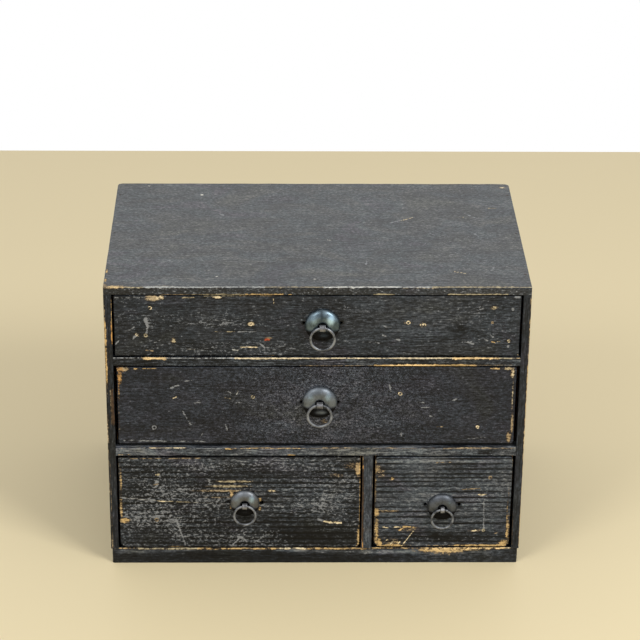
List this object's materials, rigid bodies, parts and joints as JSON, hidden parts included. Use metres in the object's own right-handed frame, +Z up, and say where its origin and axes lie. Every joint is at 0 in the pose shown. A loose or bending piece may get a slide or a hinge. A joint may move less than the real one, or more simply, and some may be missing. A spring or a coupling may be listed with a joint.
{
  "type": "chest of drawers",
  "caption": "Small black-painted table chest: full-width drawers over a wide and a narrow one, each with a domed rosette and ring pull.",
  "frame": {"origin": "on the floor, at the centre of the footprint of the carcass and its pulls together", "axes": "+X to the right seen from the front, +Y from the drawers' side to the back, +Z up"},
  "size_m": [0.42, 0.2762, 0.314],
  "materials": {
    "black_paint": "worn satin black paint over wood, rubbed through at the arrises",
    "bare_wood": "aged bare softwood, planed",
    "blued_iron": "dark blue-grey iron sheet, lightly polished by handling",
    "grey_iron": "grey-brown drawn iron, worn bright where it rubs",
    "nail_iron": "dark forged iron"
  },
  "bodies": {
    "carcass": {"top_board": "black_paint", "left_side": "black_paint", "right_side": "black_paint", "upper_shelf": "black_paint", "lower_shelf": "black_paint", "partition": "black_paint", "bottom_board": "black_paint", "plinth_front": "black_paint", "plinth_back": "black_paint", "plinth_left": "black_paint", "plinth_right": "black_paint", "back_board_lower": "bare_wood", "back_board_upper": "bare_wood", "top_nails": "nail_iron", "shelf_nails": "nail_iron", "base_nails": "nail_iron", "plinth_nails": "nail_iron", "back_nails": "nail_iron"},
    "top_drawer": {"top_drawer_front": "black_paint", "top_drawer_left_side": "bare_wood", "top_drawer_right_side": "bare_wood", "top_drawer_back": "bare_wood", "top_drawer_bottom": "bare_wood", "top_drawer_nails": "nail_iron", "top_drawer_rosette": "blued_iron", "top_drawer_eye": "grey_iron"},
    "top_drawer_pull": {"top_drawer_ring": "grey_iron"},
    "middle_drawer": {"middle_drawer_front": "black_paint", "middle_drawer_left_side": "bare_wood", "middle_drawer_right_side": "bare_wood", "middle_drawer_back": "bare_wood", "middle_drawer_bottom": "bare_wood", "middle_drawer_nails": "nail_iron", "middle_drawer_rosette": "blued_iron", "middle_drawer_eye": "grey_iron"},
    "middle_drawer_pull": {"middle_drawer_ring": "grey_iron"},
    "bottom_left_drawer": {"bottom_left_drawer_front": "black_paint", "bottom_left_drawer_left_side": "bare_wood", "bottom_left_drawer_right_side": "bare_wood", "bottom_left_drawer_back": "bare_wood", "bottom_left_drawer_bottom": "bare_wood", "bottom_left_drawer_nails": "nail_iron", "bottom_left_drawer_rosette": "blued_iron", "bottom_left_drawer_eye": "grey_iron"},
    "bottom_left_drawer_pull": {"bottom_left_drawer_ring": "grey_iron"},
    "bottom_right_drawer": {"bottom_right_drawer_front": "black_paint", "bottom_right_drawer_left_side": "bare_wood", "bottom_right_drawer_right_side": "bare_wood", "bottom_right_drawer_back": "bare_wood", "bottom_right_drawer_bottom": "bare_wood", "bottom_right_drawer_nails": "nail_iron", "bottom_right_drawer_rosette": "blued_iron", "bottom_right_drawer_eye": "grey_iron"},
    "bottom_right_drawer_pull": {"bottom_right_drawer_ring": "grey_iron"}
  },
  "joints": [
    {"name": "top_drawer_slide", "type": "slide", "parent": "carcass", "child": "top_drawer", "axis": [0, -1, 0], "range_m": [0, 0.2]},
    {"name": "top_drawer_ring_swing", "type": "hinge", "parent": "top_drawer", "child": "top_drawer_pull", "pos_m": [0.0049, -0.13467, 0.2731], "axis": [-1, 0, 0], "range_deg": [0, 180]},
    {"name": "middle_drawer_slide", "type": "slide", "parent": "carcass", "child": "middle_drawer", "axis": [0, -1, 0], "range_m": [0, 0.2]},
    {"name": "middle_drawer_ring_swing", "type": "hinge", "parent": "middle_drawer", "child": "middle_drawer_pull", "pos_m": [0.0029, -0.13467, 0.18755], "axis": [-1, 0, 0], "range_deg": [0, 180]},
    {"name": "bottom_left_drawer_slide", "type": "slide", "parent": "carcass", "child": "bottom_left_drawer", "axis": [0, -1, 0], "range_m": [0, 0.2]},
    {"name": "bottom_left_drawer_ring_swing", "type": "hinge", "parent": "bottom_left_drawer", "child": "bottom_left_drawer_pull", "pos_m": [-0.0723, -0.13387, 0.07115], "axis": [-1, 0, 0], "range_deg": [0, 180]},
    {"name": "bottom_right_drawer_slide", "type": "slide", "parent": "carcass", "child": "bottom_right_drawer", "axis": [0, -1, 0], "range_m": [0, 0.2]},
    {"name": "bottom_right_drawer_ring_swing", "type": "hinge", "parent": "bottom_right_drawer", "child": "bottom_right_drawer_pull", "pos_m": [0.1294, -0.13387, 0.06675], "axis": [-1, 0, 0], "range_deg": [0, 180]}
  ]
}
